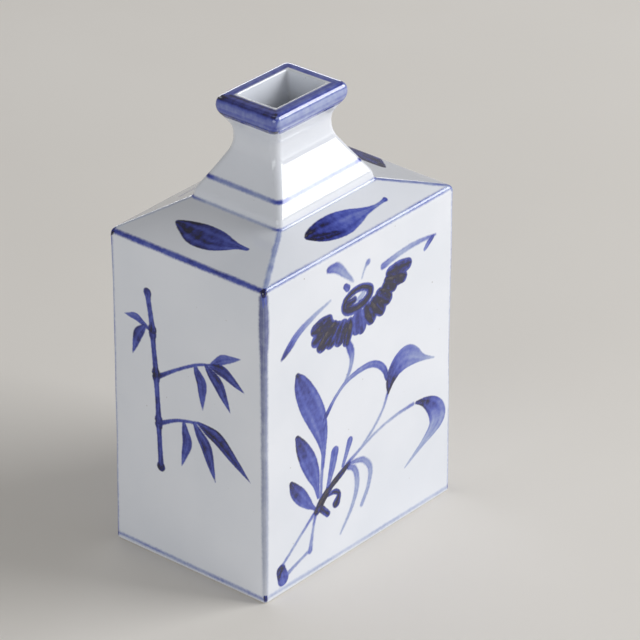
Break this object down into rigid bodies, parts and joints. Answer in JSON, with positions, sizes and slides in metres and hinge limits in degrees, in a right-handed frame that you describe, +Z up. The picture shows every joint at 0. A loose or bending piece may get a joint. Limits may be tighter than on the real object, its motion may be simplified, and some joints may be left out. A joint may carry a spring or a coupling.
{
  "type": "sake bottle",
  "caption": "Rectangular porcelain sake bottle with a low hipped shoulder, a square flared neck, a thick lip and blue brushwork.",
  "frame": {"origin": "centre of the foot, on the surface that the bottle stands on", "axes": "+Z up the bottle, +X to the bottle's right along its wide faces, -Y out of the front with the flower spray"},
  "size_m": [0.083, 0.057, 0.14],
  "materials": {
    "glaze": "glossy clear glaze over white porcelain, with blue underglaze brushwork",
    "foot": "glossy glaze on the edge, bare matt porcelain on the foot rim",
    "lip": "glossy clear glaze over a blue underglaze band"
  },
  "bodies": {
    "root": {"base": "foot", "wall_front": "glaze", "wall_back": "glaze", "wall_left": "glaze", "wall_right": "glaze", "shoulder_front": "glaze", "shoulder_back": "glaze", "shoulder_left": "glaze", "shoulder_right": "glaze", "neck": "glaze", "lip": "lip"}
  },
  "joints": []
}
